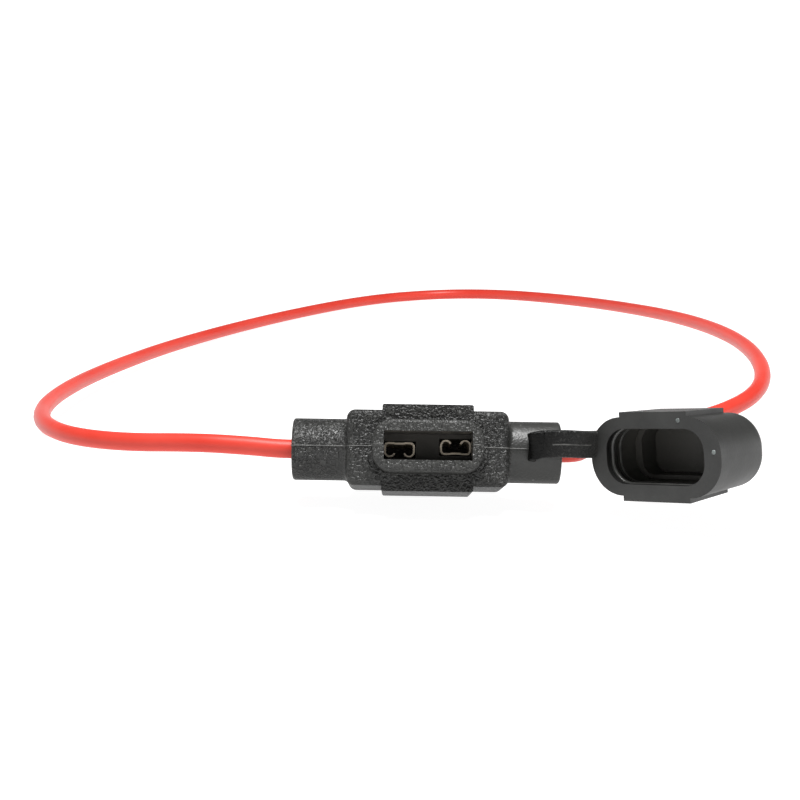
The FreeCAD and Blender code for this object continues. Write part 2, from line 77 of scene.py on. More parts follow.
def fromCap(x, y, z):
    return (lieCap @ Vector((x, y, z))) * mm


# where the photograph was taken from
photo = {
    "place": (-17.0, -187.38, 55.87),
    "lookDown": 12.0,
    "roll": 0.9,
    "lens": 63.0,
    "sensor": 36.0,
    # in metres
    "clip": (0.005, 20.0),
}


def addCamera():
    data = bpy.data.cameras.new("photoCamera")
    data.lens = photo["lens"]
    data.sensor_width = photo["sensor"]
    data.clip_start, data.clip_end = photo["clip"]
    camera = bpy.data.objects.new("photoCamera", data)
    bpy.context.scene.collection.objects.link(camera)
    down = math.radians(photo["lookDown"])
    turn = math.radians(photo["roll"])
    forward = Vector((0, math.cos(down), -math.sin(down)))
    right = Vector((1, 0, 0))
    up = right.cross(forward)
    right, up = (
        right * math.cos(turn) + up * math.sin(turn),
        up * math.cos(turn) - right * math.sin(turn),
    )
    pose = Matrix((right, up, -forward)).transposed().to_4x4()
    pose.translation = Vector(photo["place"]) * mm
    camera.matrix_world = pose
    bpy.context.scene.camera = camera


addCamera()
print("camera placed")


def newMaterial(name):
    material = bpy.data.materials.new(name)
    material.use_nodes = True
    nodes, links = material.node_tree.nodes, material.node_tree.links
    nodes.clear()
    output = nodes.new("ShaderNodeOutputMaterial")
    shader = nodes.new("ShaderNodeBsdfPrincipled")
    links.new(shader.outputs["BSDF"], output.inputs["Surface"])
    return material, nodes, links, shader


def newGroup(name, inputs, outputs):
    group = bpy.data.node_groups.new(name, "ShaderNodeTree")
    for label, kind, value in inputs:
        socket = group.interface.new_socket(label, in_out="INPUT", socket_type="NodeSocket" + kind)
        if value is not None:
            socket.default_value = value
    for label, kind in outputs:
        group.interface.new_socket(label, in_out="OUTPUT", socket_type="NodeSocket" + kind)
    start = group.nodes.new("NodeGroupInput")
    end = group.nodes.new("NodeGroupOutput")
    return group, start, end


def useGroup(nodes, links, group, coordinates, **values):
    node = nodes.new("ShaderNodeGroup")
    node.node_tree = group
    links.new(coordinates, node.inputs["Coordinates"])
    for label, value in values.items():
        node.inputs[label].default_value = value
    return node


def mathNode(nodes, links, operation, first, second=None, third=None):
    node = nodes.new("ShaderNodeMath")
    node.operation = operation
    for socket, value in zip(node.inputs, (first, second, third)):
        if value is None:
            continue
        if isinstance(value, (int, float)):
            socket.default_value = value
        else:
            links.new(value, socket)
    return node.outputs[0]


def mapRange(nodes, links, value, fromMin, fromMax, toMin, toMax):
    node = nodes.new("ShaderNodeMapRange")
    links.new(value, node.inputs["Value"])
    ends = {"From Min": fromMin, "From Max": fromMax, "To Min": toMin, "To Max": toMax}
    for label, number in ends.items():
        node.inputs[label].default_value = number
    return node.outputs["Result"]


def mixColours(nodes, links, factor, first, second):
    node = nodes.new("ShaderNodeMix")
    node.data_type = "RGBA"
    links.new(factor, node.inputs["Factor"])
    for label, colour in (("A", first), ("B", second)):
        socket = [s for s in node.inputs if s.name == label and s.type == "RGBA"][0]
        if isinstance(colour, tuple):
            socket.default_value = (*colour, 1)
        else:
            links.new(colour, socket)
    return [s for s in node.outputs if s.type == "RGBA"][0]


def addNoise(nodes, links, coordinates, scale, detail, roughness=0.5, distortion=0.0):
    noise = nodes.new("ShaderNodeTexNoise")
    links.new(coordinates, noise.inputs["Vector"])
    links.new(scale, noise.inputs["Scale"])
    noise.inputs["Detail"].default_value = detail
    noise.inputs["Roughness"].default_value = roughness
    noise.inputs["Distortion"].default_value = distortion
    return noise.outputs["Fac"]


def addBump(nodes, links, shader, height, strength, depth):
    bump = nodes.new("ShaderNodeBump")
    bump.inputs["Strength"].default_value = strength
    bump.inputs["Distance"].default_value = depth * mm
    links.new(height, bump.inputs["Height"])
    links.new(bump.outputs["Normal"], shader.inputs["Normal"])


grainShape = {
    # for the winding plateaus and the pitting: how many fit one grain, detail, roughness, distortion
    "worms": (1.05, 1.0, 0.5, 0.8),
    "fine": (2.4, 2.0, 0.6, 0.0),
    "plateauEdge": (0.36, 0.64),
    "pitting": 0.55,
    "softening": 0.35,
    "lift": 0.7,
    # heights between which the peaks and the pits fade in
    "peaks": (0.85, 1.25),
    "pits": (0.55, 0.2),
}


def buildMouldGrain():
    # spark-eroded mould texture: small winding plateaus with finer pitting over them
    group, start, end = newGroup(
        "mouldGrain",
        [("Coordinates", "Vector", None), ("Size", "Float", 0.4), ("Roundness", "Float", 0.5)],
        [("Height", "Float"), ("Peaks", "Float"), ("Pits", "Float")],
    )
    nodes, links = group.nodes, group.links
    perMetre = mathNode(nodes, links, "DIVIDE", 1 / mm, start.outputs["Size"])
    layers = []
    for density, *look in (grainShape["worms"], grainShape["fine"]):
        scale = mathNode(nodes, links, "MULTIPLY", perMetre, density)
        layers.append(addNoise(nodes, links, start.outputs["Coordinates"], scale, *look))
    worms, fine = layers
    plateau = mapRange(nodes, links, worms, *grainShape["plateauEdge"], 0.0, 1.0)
    soft = mathNode(nodes, links, "MULTIPLY", start.outputs["Roundness"], grainShape["softening"])
    pitting = mathNode(nodes, links, "SUBTRACT", grainShape["pitting"], soft)
    height = mathNode(nodes, links, "MULTIPLY_ADD", fine, pitting, plateau)
    links.new(mathNode(nodes, links, "MULTIPLY", height, grainShape["lift"]), end.inputs["Height"])
    links.new(mapRange(nodes, links, height, *grainShape["peaks"], 0.0, 1.0), end.inputs["Peaks"])
    links.new(mapRange(nodes, links, height, *grainShape["pits"], 0.0, 1.0), end.inputs["Pits"])
    return group


patchShape = {"detail": 4.0, "edge": (0.85, 1.2)}


def buildRubbed():
    # broad patches where handling and the mould have left the skin smoother
    group, start, end = newGroup(
        "rubbedPatches",
        [("Coordinates", "Vector", None), ("Size", "Float", 6.0), ("Share", "Float", 0.5)],
        [("Mask", "Float")],
    )
    nodes, links = group.nodes, group.links
    perMetre = mathNode(nodes, links, "DIVIDE", 1 / mm, start.outputs["Size"])
    cloud = addNoise(nodes, links, start.outputs["Coordinates"], perMetre, patchShape["detail"])
    lifted = mathNode(nodes, links, "ADD", cloud, start.outputs["Share"])
    links.new(mapRange(nodes, links, lifted, *patchShape["edge"], 0.0, 1.0), end.inputs["Mask"])
    return group


# the share of the cells of the speck pattern that stay empty
speckShape = {"empty": 0.6}


def buildSpecks():
    # a few pale specks of dust and mould release
    group, start, end = newGroup(
        "paleSpecks",
        [("Coordinates", "Vector", None), ("Spacing", "Float", 1.6), ("Radius", "Float", 0.07)],
        [("Mask", "Float")],
    )
    nodes, links = group.nodes, group.links
    dots = nodes.new("ShaderNodeTexVoronoi")
    links.new(start.outputs["Coordinates"], dots.inputs["Vector"])
    links.new(mathNode(nodes, links, "DIVIDE", 1 / mm, start.outputs["Spacing"]), dots.inputs["Scale"])
    parts = nodes.new("ShaderNodeSeparateColor")
    links.new(dots.outputs["Color"], parts.inputs["Color"])
    share = mathNode(nodes, links, "DIVIDE", start.outputs["Radius"], start.outputs["Spacing"])
    reach = mathNode(nodes, links, "MULTIPLY", share, parts.outputs["Red"])
    near = mathNode(nodes, links, "LESS_THAN", dots.outputs["Distance"], reach)
    kept = mathNode(nodes, links, "GREATER_THAN", parts.outputs["Green"], speckShape["empty"])
    links.new(mathNode(nodes, links, "MULTIPLY", near, kept), end.inputs["Mask"])
    return group


mouldGrain = buildMouldGrain()
rubbedPatches = buildRubbed()
paleSpecks = buildSpecks()
print("surface effects built")


def placeAlong(nodes, links, coords, frameMatrix, axis):
    # how far a point lies along one axis of a piece's own frame
    offset = nodes.new("ShaderNodeVectorMath")
    offset.operation = "SUBTRACT"
    links.new(coords, offset.inputs[0])
    offset.inputs[1].default_value = frameMatrix.to_translation() * mm
    dot = nodes.new("ShaderNodeVectorMath")
    dot.operation = "DOT_PRODUCT"
    links.new(offset.outputs[0], dot.inputs[0])
    dot.inputs[1].default_value = frameMatrix.to_3x3().col[axis]
    return dot.outputs["Value"]


def addDust(nodes, links, coords, skin, base):
    specks = useGroup(nodes, links, paleSpecks, coords, **skin["specks"])
    share = mathNode(nodes, links, "MULTIPLY", specks.outputs["Mask"], skin["dustShare"])
    return mixColours(nodes, links, share, base, skin["dust"])


bodySkin = {
    "colour": (0.0115, 0.0117, 0.0107),
    "rubbed": (0.028, 0.0282, 0.0265),
    "peak": (0.085, 0.085, 0.079),
    "peakShare": 0.32,
    "pit": (0.007, 0.007, 0.0065),
    "pitShare": 0.6,
    "collar": (0.027, 0.0273, 0.0255),
    "dust": (0.24, 0.24, 0.225),
    "dustShare": 0.6,
    "specks": {"Spacing": 1.7, "Radius": 0.11},
    "patches": {"Size": 9.0, "Share": 0.40},
    "grain": {"Size": 0.47, "Roundness": 0.3},
    "grainDepth": 0.22,
    "grainStrength": 1.0,
    "grainWhereSmooth": 0.12,
    # on grainy and on smooth skin
    "roughness": (0.40, 0.42),
    # where along the wires the skin starts to turn smooth towards the right-hand boss, and where it is
    "smoothBossX": (-2.6, -1.2),
    # in the holder's own frame: how far out the painted light that makes the collar paler than the block
    # behind it begins and is full
    "collarY": (-6.8, -8.2),
    # painted shade: duller on faces that look down, for the shade under the part: the normal's heights, and
    # the specular levels there
    "facing": (-0.8, 0.1),
    "specular": (0.15, 0.5),
}


def bodyMaterial():
    # matt black moulding with spark-eroded grain, smoother on the right-hand boss; painted light makes the
    # collar paler and painted shade dulls faces that look down
    material, nodes, links, shader = newMaterial("grainyBlackMoulding")
    coords = nodes.new("ShaderNodeTexCoord").outputs["Object"]
    grain = useGroup(nodes, links, mouldGrain, coords, **bodySkin["grain"])
    rubbed = useGroup(nodes, links, rubbedPatches, coords, **bodySkin["patches"])
    axes = nodes.new("ShaderNodeSeparateXYZ")
    links.new(coords, axes.inputs[0])
    bossX = (x * mm for x in bodySkin["smoothBossX"])
    boss = mapRange(nodes, links, axes.outputs["X"], *bossX, 0.0, 1.0)
    smooth = mathNode(nodes, links, "MAXIMUM", boss, rubbed.outputs["Mask"])
    base = mixColours(nodes, links, smooth, bodySkin["colour"], bodySkin["rubbed"])
    # painted light: the collar, standing out in front, is made paler than the block face behind it
    collarY = (y * mm for y in bodySkin["collarY"])
    collar = mapRange(nodes, links, placeAlong(nodes, links, coords, lie, 1), *collarY, 0.0, 1.0)
    base = mixColours(nodes, links, collar, base, bodySkin["collar"])
    strength = mapRange(nodes, links, smooth, 0.0, 1.0, 1.0, bodySkin["grainWhereSmooth"])
    for mask, colour, share in (("Peaks", "peak", "peakShare"), ("Pits", "pit", "pitShare")):
        amount = mathNode(nodes, links, "MULTIPLY", grain.outputs[mask], strength)
        amount = mathNode(nodes, links, "MULTIPLY", amount, bodySkin[share])
        base = mixColours(nodes, links, amount, base, bodySkin[colour])
    base = addDust(nodes, links, coords, bodySkin, base)
    links.new(base, shader.inputs["Base Color"])
    # painted shade: less specular on faces that look down
    normal = nodes.new("ShaderNodeSeparateXYZ")
    links.new(nodes.new("ShaderNodeNewGeometry").outputs["Normal"], normal.inputs[0])
    level = mapRange(nodes, links, normal.outputs["Z"], *bodySkin["facing"], *bodySkin["specular"])
    links.new(level, shader.inputs["Specular IOR Level"])
    roughness = mapRange(nodes, links, smooth, 0.0, 1.0, *bodySkin["roughness"])
    links.new(roughness, shader.inputs["Roughness"])
    height = mathNode(nodes, links, "MULTIPLY", grain.outputs["Height"], strength)
    addBump(nodes, links, shader, height, bodySkin["grainStrength"], bodySkin["grainDepth"])
    return material


capSkin = {
    "colour": (0.0165, 0.0167, 0.0157),
    "scuffed": (0.026, 0.0262, 0.0248),
    "rimPaintedShade": (0.007, 0.007, 0.0066),
    "inside": (0.074, 0.072, 0.065),
    "dust": (0.16, 0.16, 0.15),
    "dustShare": 0.35,
    "specks": {"Spacing": 2.6, "Radius": 0.08},
    "patches": {"Size": 5.0, "Share": 0.5},
    "grain": {"Size": 0.5, "Roundness": 0.8},
    "grainDepth": 0.012,
    "grainStrength": 0.6,
    # on plain and on scuffed skin
    "roughness": (0.52, 0.43),
    # outside and inside
    "specular": (0.5, 0.25),
    # in the cap's own frame: where the mouth face lies and how far out the inner wall is
    "mouthY": -5.7,
    "innerReach": (7.9, 3.95),
    # how far in the inside starts, and between which depths its painted light turns paler
    "insideFrom": 0.05,
    "paintedLightDepths": (0.6, 6.0),
}


def insideCap(nodes, links, coords):
    # 1 on the walls and the end of the cap's inside, read from the place in the cap's own frame
    along = [placeAlong(nodes, links, coords, lieCap, k) for k in range(3)]
    across, up = (mathNode(nodes, links, "ABSOLUTE", along[k]) for k in (0, 2))
    wide, tall = capSkin["innerReach"]
    mouth = (capSkin["mouthY"] - capSkin["insideFrom"]) * mm
    behind = mathNode(nodes, links, "LESS_THAN", along[1], mouth)
    within = mathNode(nodes, links, "LESS_THAN", across, wide * mm)
    between = mathNode(nodes, links, "LESS_THAN", up, tall * mm)
    return mathNode(nodes, links, "MULTIPLY", mathNode(nodes, links, "MULTIPLY", behind, within), between)


def capMaterial():
    # soft satin skin, nearly smooth, with faint scuffs outside and a dull inside, with painted light making
    # the inside paler deeper in and painted shade dark near the rim
    material, nodes, links, shader = newMaterial("softCapSkin")
    coords = nodes.new("ShaderNodeTexCoord").outputs["Object"]
    grain = useGroup(nodes, links, mouldGrain, coords, **capSkin["grain"])
    rubbed = useGroup(nodes, links, rubbedPatches, coords, **capSkin["patches"])
    base = mixColours(nodes, links, rubbed.outputs["Mask"], capSkin["colour"], capSkin["scuffed"])
    base = addDust(nodes, links, coords, capSkin, base)
    # painted shade near the rim and painted light deeper in: the inside grows paler with depth
    inside = insideCap(nodes, links, coords)
    depths = ((capSkin["mouthY"] - depth) * mm for depth in capSkin["paintedLightDepths"])
    deep = mapRange(nodes, links, placeAlong(nodes, links, coords, lieCap, 1), *depths, 0.0, 1.0)
    wall = mixColours(nodes, links, deep, capSkin["rimPaintedShade"], capSkin["inside"])
    links.new(mixColours(nodes, links, inside, base, wall), shader.inputs["Base Color"])
    roughness = mapRange(nodes, links, rubbed.outputs["Mask"], 0.0, 1.0, *capSkin["roughness"])
    links.new(roughness, shader.inputs["Roughness"])
    level = mapRange(nodes, links, inside, 0.0, 1.0, *capSkin["specular"])
    links.new(level, shader.inputs["Specular IOR Level"])
    addBump(nodes, links, shader, grain.outputs["Height"], capSkin["grainStrength"], capSkin["grainDepth"])
    return material


strapSkin = {
    "colour": (0.005, 0.005, 0.0048),
    "peak": (0.030, 0.030, 0.0285),
    "dust": (0.14, 0.14, 0.135),
    "dustShare": 1.0,
    "specks": {"Spacing": 0.7, "Radius": 0.12},
    "grain": {"Size": 0.34, "Roundness": 0.2},
    "grainDepth": 0.07,
    "grainStrength": 0.9,
    # the paler outer run and the painted shade darkening the fold: where along the wires each begins and is
    # full
    "outer": (0.042, 0.042, 0.040),
    "outerX": (19.0, 22.5),
    "outerShare": 0.6,
    "foldPaintedShade": (0.003, 0.003, 0.0028),
    "foldPaintedShadeX": (18.5, 15.5),
    "foldPaintedShadeShare": 0.9,
    # outside and in the fold, where the lower level adds to the painted shade
    "specular": (0.25, 0.12),
    # between these grain heights
    "heights": (0.2, 0.8),
    "roughness": (0.34, 0.46),
}


def strapMaterial():
    # the body's black, drawn thin, with finer sparkling grain, and painted shade darkening the fold at its
    # root
    material, nodes, links, shader = newMaterial("flexedStrapSkin")
    coords = nodes.new("ShaderNodeTexCoord").outputs["Object"]
    grain = useGroup(nodes, links, mouldGrain, coords, **strapSkin["grain"])
    base = mixColours(nodes, links, grain.outputs["Peaks"], strapSkin["colour"], strapSkin["peak"])
    base = addDust(nodes, links, coords, strapSkin, base)
    along = placeAlong(nodes, links, coords, lie, 0)
    outerX = (x * mm for x in strapSkin["outerX"])
    outer = mapRange(nodes, links, along, *outerX, 0.0, strapSkin["outerShare"])
    base = mixColours(nodes, links, outer, base, strapSkin["outer"])
    # painted shade: darker and less specular where the strap folds at its root
    foldPaintedShadeX = (x * mm for x in strapSkin["foldPaintedShadeX"])
    foldPaintedShade = mapRange(nodes, links, along, *foldPaintedShadeX, 0.0, strapSkin["foldPaintedShadeShare"])
    links.new(mixColours(nodes, links, foldPaintedShade, base, strapSkin["foldPaintedShade"]), shader.inputs["Base Color"])
    level = mapRange(nodes, links, foldPaintedShade, 0.0, 1.0, *strapSkin["specular"])
    links.new(level, shader.inputs["Specular IOR Level"])
    height = grain.outputs["Height"]
    roughness = mapRange(nodes, links, height, *strapSkin["heights"], *strapSkin["roughness"])
    links.new(roughness, shader.inputs["Roughness"])
    addBump(nodes, links, shader, height, strapSkin["grainStrength"], strapSkin["grainDepth"])
    return material


terminalSkin = {
    "tin": (0.74, 0.68, 0.57),
    "worn": (0.60, 0.52, 0.40),
    "cutEdge": (0.88, 0.77, 0.62),
    "patches": {"Size": 0.9, "Share": 0.5},
    # how squarely a face looks out of the pocket for the cut edge's colour to begin and be full
    "facing": (0.7, 0.95),
    "metallic": 0.6,
    "roughness": (0.30, 0.48),
}


def terminalMaterial():
    # tinned brass strip: pale faces, warmer cut edges that look out of the pocket
    material, nodes, links, shader = newMaterial("tinnedBrassStrip")
    coords = nodes.new("ShaderNodeTexCoord").outputs["Object"]
    rubbed = useGroup(nodes, links, rubbedPatches, coords, **terminalSkin["patches"]).outputs["Mask"]
    outward = nodes.new("ShaderNodeVectorMath")
    outward.operation = "DOT_PRODUCT"
    links.new(nodes.new("ShaderNodeNewGeometry").outputs["Normal"], outward.inputs[0])
    outward.inputs[1].default_value = lie.to_3x3() @ Vector((0, -1, 0))
    edge = mapRange(nodes, links, outward.outputs["Value"], *terminalSkin["facing"], 0.0, 1.0)
    tin = mixColours(nodes, links, rubbed, terminalSkin["tin"], terminalSkin["worn"])
    links.new(mixColours(nodes, links, edge, tin, terminalSkin["cutEdge"]), shader.inputs["Base Color"])
    shader.inputs["Metallic"].default_value = terminalSkin["metallic"]
    roughness = mapRange(nodes, links, rubbed, 0.0, 1.0, *terminalSkin["roughness"])
    links.new(roughness, shader.inputs["Roughness"])
    return material


wireSkin = {
    "colour": (0.59, 0.040, 0.025),
    "pale": (0.65, 0.060, 0.041),
    "dust": (0.55, 0.08, 0.05),
    "dustShare": 0.4,
    "specks": {"Spacing": 3.2, "Radius": 0.14},
    "patches": {"Size": 14.0, "Share": 0.5},
    "grain": {"Size": 0.9, "Roundness": 0.9},
    "grainDepth": 0.02,
    "grainStrength": 0.35,
    "specular": 0.28,
    "roughness": (0.34, 0.44),
}


def wireMaterial():
    # satin red insulation, a little uneven from extrusion
    material, nodes, links, shader = newMaterial("redInsulation")
    coords = nodes.new("ShaderNodeTexCoord").outputs["Object"]
    rubbed = useGroup(nodes, links, rubbedPatches, coords, **wireSkin["patches"]).outputs["Mask"]
    grain = useGroup(nodes, links, mouldGrain, coords, **wireSkin["grain"])
    base = mixColours(nodes, links, rubbed, wireSkin["colour"], wireSkin["pale"])
    links.new(addDust(nodes, links, coords, wireSkin, base), shader.inputs["Base Color"])
    shader.inputs["Specular IOR Level"].default_value = wireSkin["specular"]
    roughness = mapRange(nodes, links, rubbed, 0.0, 1.0, *wireSkin["roughness"])
    links.new(roughness, shader.inputs["Roughness"])
    addBump(nodes, links, shader, grain.outputs["Height"], wireSkin["grainStrength"], wireSkin["grainDepth"])
    return material


# hard smooth insert that lines the pocket
carrierSkin = {
    "name": "smoothBlackInsert",
    "patch": 3.0,
    "first": (0.052, 0.049, 0.043),
    "second": (0.070, 0.066, 0.058),
    "roughness": (0.38, 0.5),
    "specular": 0.3,
}
# bare copper under the crimps
strandSkin = {
    "name": "copperStrands",
    "patch": 0.7,
    "first": (0.72, 0.36, 0.22),
    "second": (0.50, 0.24, 0.15),
    "roughness": 0.35,
    "metallic": 1.0,
}
# the cap's skin where it is stretched over the sealing lips, a little glossier, and painted paler as a
# highlight
lipPaintedHighlightSkin = {
    "name": "lipPaintedHighlight",
    "patch": 3.0,
    "first": (0.05, 0.05, 0.048),
    "second": (0.11, 0.11, 0.105),
    "roughness": 0.28,
}
# worn pale tops of the two ejector marks
pipSkin = {
    "name": "wornPip",
    "patch": 0.6,
    "first": (0.085, 0.097, 0.094),
    "second": (0.20, 0.225, 0.22),
    "roughness": 0.35,
}
# the thin seam left where the mould halves met, painted paler than the skin beside it as a highlight along
# its ridge
seamPaintedHighlightSkin = {
    "name": "seamPaintedHighlight",
    "patch": 1.6,
    "first": (0.035, 0.035, 0.033),
    "second": (0.11, 0.11, 0.104),
    "roughness": 0.4,
}


def patchyMaterial(name, patch, first, second, roughness, metallic=0.0, specular=0.5):
    # one colour with broad patches of another; a pair of roughnesses follows the patches
    material, nodes, links, shader = newMaterial(name)
    coords = nodes.new("ShaderNodeTexCoord").outputs["Object"]
    rubbed = useGroup(nodes, links, rubbedPatches, coords, Size=patch, Share=0.5).outputs["Mask"]
    links.new(mixColours(nodes, links, rubbed, first, second), shader.inputs["Base Color"])
    if isinstance(roughness, tuple):
        links.new(mapRange(nodes, links, rubbed, 0.0, 1.0, *roughness), shader.inputs["Roughness"])
    else:
        shader.inputs["Roughness"].default_value = roughness
    shader.inputs["Metallic"].default_value = metallic
    shader.inputs["Specular IOR Level"].default_value = specular
    return material


skins = {
    "holder_body": bodyMaterial(),
    "terminal_carrier": patchyMaterial(**carrierSkin),
    "terminal_left": terminalMaterial(),
    "wire_end_left": patchyMaterial(**strandSkin),
    "cap": capMaterial(),
    "strap": strapMaterial(),
    "wire_loop": wireMaterial(),
    "seal_lip": patchyMaterial(**lipPaintedHighlightSkin),
    "pips": patchyMaterial(**pipSkin),
    "seam": patchyMaterial(**seamPaintedHighlightSkin),
}
skins["strap_tip"] = skins["strap"]
skins["terminal_right"] = skins["terminal_left"]
skins["wire_end_right"] = skins["wire_end_left"]
for name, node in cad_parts.items():
    node.data.materials.clear()
    node.data.materials.append(skins[name])
print("materials set on the solid pieces")


wireLoop = {
    "diameter": 2.7,
    "bevelSteps": 6,
    "stepsPerPoint": 12,
    "order": 3,
    # the holder's middle on the floor, and the path's points round it
    "middle": (-13.1, 4.01),
    "points": [
        (-18.8, 0.0, 7.9),
        (-20.9, 0.0, 7.9),
        (-24.9, 0.25, 8.2),
        (-32.5, 1.2, 8.35),
        (-44.3, 4.7, 7.3),
        (-54.6, 12.3, 6.5),
        (-61.6, 26.0, 5.7),
        (-64.6, 47.0, 4.7),
        (-63.0, 77.0, 3.4),
        (-54.0, 121.0, 2.0),
        (-35.2, 166.0, 1.45),
        (-13.5, 200.0, 1.45),
        (5.9, 209.6, 2.0),
        (22.6, 203.0, 3.2),
        (37.6, 181.5, 5.1),
        (49.8, 150.0, 7.7),
        (58.2, 112.0, 10.6),
        (61.1, 76.0, 12.4),
        (59.6, 49.5, 12.1),
        (54.6, 31.2, 10.7),
        (45.2, 20.6, 9.1),
        (34.8, 15.6, 8.1),
        (27.4, 12.0, 7.7),
        (23.7, 7.6, 7.6),
        (22.5, 4.2, 7.7),
        (22.0, 2.0, 7.8),
        (21.15, 0.65, 7.9),
        (19.9, 0.0, 7.9),
        (18.6, 0.0, 7.9),
    ],
}


def addWire():
    data = bpy.data.curves.new("redWire", "CURVE")
    data.dimensions = "3D"
    data.bevel_depth = wireLoop["diameter"] / 2 * mm
    data.bevel_resolution = wireLoop["bevelSteps"]
    data.resolution_u = wireLoop["stepsPerPoint"]
    data.use_fill_caps = True
    spline = data.splines.new("NURBS")
    spline.points.add(len(wireLoop["points"]) - 1)
    for place, (x, y, z) in zip(spline.points, wireLoop["points"]):
        place.co = ((x + wireLoop["middle"][0]) * mm, (y + wireLoop["middle"][1]) * mm, z * mm, 1)
    spline.order_u = wireLoop["order"]
    spline.use_endpoint_u = True
    wire = bpy.data.objects.new("redWire", data)
    bpy.context.scene.collection.objects.link(wire)
    data.materials.append(skins["wire_loop"])
    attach(wire, "holder")
    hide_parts("wire_loop")

addWire()
print("wire laid")


def buildSweep(name, normals):
    # a rounded strip or bead swept along a curve; with normals "Z_UP" its width stays upright
    tree = bpy.data.node_groups.new(name, "GeometryNodeTree")
    tree.interface.new_socket("Geometry", in_out="INPUT", socket_type="NodeSocketGeometry")
    for label, value in {"Width": 3.4, "Thickness": 1.0, "Edge Radius": 0.3, "Spacing": 0.2}.items():
        socket = tree.interface.new_socket(label, in_out="INPUT", socket_type="NodeSocketFloat")
        socket.default_value = value * mm
    tree.interface.new_socket("Material", in_out="INPUT", socket_type="NodeSocketMaterial")
    tree.interface.new_socket("Geometry", in_out="OUTPUT", socket_type="NodeSocketGeometry")
    nodes, links = tree.nodes, tree.links
    start, end = nodes.new("NodeGroupInput"), nodes.new("NodeGroupOutput")
    even = nodes.new("GeometryNodeResampleCurve")
    even.mode = "LENGTH"
    upright = nodes.new("GeometryNodeSetCurveNormal")
    upright.mode = normals
    profile = nodes.new("GeometryNodeCurvePrimitiveQuadrilateral")
    rounded = nodes.new("GeometryNodeFilletCurve")
    rounded.mode = "POLY"
    rounded.inputs["Count"].default_value = 4
    sweep = nodes.new("GeometryNodeCurveToMesh")
    sweep.inputs["Fill Caps"].default_value = True
    whole = nodes.new("GeometryNodeRealizeInstances")
    finish = nodes.new("GeometryNodeSetMaterial")
    links.new(start.outputs["Geometry"], even.inputs["Curve"])
    links.new(start.outputs["Spacing"], even.inputs["Length"])
    links.new(even.outputs["Curve"], upright.inputs["Curve"])
    links.new(start.outputs["Thickness"], profile.inputs["Width"])
    links.new(start.outputs["Width"], profile.inputs["Height"])
    links.new(profile.outputs["Curve"], rounded.inputs["Curve"])
    links.new(start.outputs["Edge Radius"], rounded.inputs["Radius"])
    links.new(upright.outputs["Curve"], sweep.inputs["Curve"])
    links.new(rounded.outputs["Curve"], sweep.inputs["Profile Curve"])
    links.new(sweep.outputs["Mesh"], whole.inputs["Geometry"])
    links.new(whole.outputs["Geometry"], finish.inputs["Geometry"])
    links.new(start.outputs["Material"], finish.inputs["Material"])
    links.new(finish.outputs["Geometry"], end.inputs["Geometry"])
    return tree


sweptStrip = buildSweep("sweptStrip", "Z_UP")
sweptBead = buildSweep("sweptBead", "MINIMUM_TWIST")


def setInput(modifier, label, value):
    for item in modifier.node_group.interface.items_tree:
        if item.item_type == "SOCKET" and item.in_out == "INPUT" and item.name == label:
            modifier[item.identifier] = value


# a bead's corner radius as a share of its width
beadRounding = 0.45
sharpAngle = math.radians(50)


def pieceFrom(guide, name):
    # the mesh that the modifier makes, as a piece of its own in place of the guide
    bpy.context.view_layer.update()
    mesh = bpy.data.meshes.new_from_object(guide.evaluated_get(bpy.context.evaluated_depsgraph_get()))
    bpy.data.objects.remove(guide)
    piece = bpy.data.objects.new(name, mesh)
    bpy.context.scene.collection.objects.link(piece)
    for face in mesh.polygons:
        face.use_smooth = True
    mesh.set_sharp_from_angle(angle=sharpAngle)
    return piece


def sweepAlong(name, points, material, width, thickness, edge, spacing, tree=sweptStrip, closed=False):
    data = bpy.data.curves.new(name + "Path", "CURVE")
    data.dimensions = "3D"
    spline = data.splines.new("POLY")
    spline.points.add(len(points) - 1)
    for place, point in zip(spline.points, points):
        place.co = (*point, 1)
    spline.use_cyclic_u = closed
    guide = bpy.data.objects.new(name + "Path", data)
    bpy.context.scene.collection.objects.link(guide)
    modifier = guide.modifiers.new("sweep", "NODES")
    modifier.node_group = tree
    sizes = {"Width": width, "Thickness": thickness, "Edge Radius": edge, "Spacing": spacing}
    for label, value in sizes.items():
        setInput(modifier, label, value * mm)
    setInput(modifier, "Material", material)
    return pieceFrom(guide, name)


def sweepBead(name, points, material, width, spacing, closed=False):
    edge = width * beadRounding
    return sweepAlong(name, points, material, width, width, edge, spacing, tree=sweptBead, closed=closed)


def smoothPath(points, steps=10):
    # Catmull-Rom through the points, with the ends' own directions kept
    ends = [points[0] * 2 - points[1], *points, points[-1] * 2 - points[-2]]
    path = []
    for before, here, there, after in zip(ends, ends[1:], ends[2:], ends[3:]):
        for k in range(steps):
            s = k / steps
            path.append(
                0.5 * (2 * here + (there - before) * s
                + (2 * before - 5 * here + 4 * there - after) * s ** 2
                + (3 * here - before - 3 * there + after) * s ** 3)
            )
    path.append(points[-1])
    return path


tether = {
    "width": 3.8,
    "thickness": 1.0,
    "edge": 0.3,
    # in the holder's frame: out of the front of the right-hand boss, round its curl and out past the boss
    "curl": [
        (14.9, -3.9, 0.3), (14.4, -4.75, 0.3), (14.59, -5.6, 0.45),
        (15.9, -5.77, 0.7), (18.8, -5.3, 0.85), (21.55, -4.2, 0.89),
    ],
    # in the cap's frame: into its rim at the near end
    "rim": (9.75, -6.5, 1.6),
    "spacing": 0.15,
    # steps of the path at which the root and the middle end
    "shares": (30, 44),
    "seamWidth": 0.16,
    "seamSpacing": 0.1,
    # the step at which the seam starts, and how many it stops before the path's end
    "seamFrom": 34,
    "seamShort": 6,
}


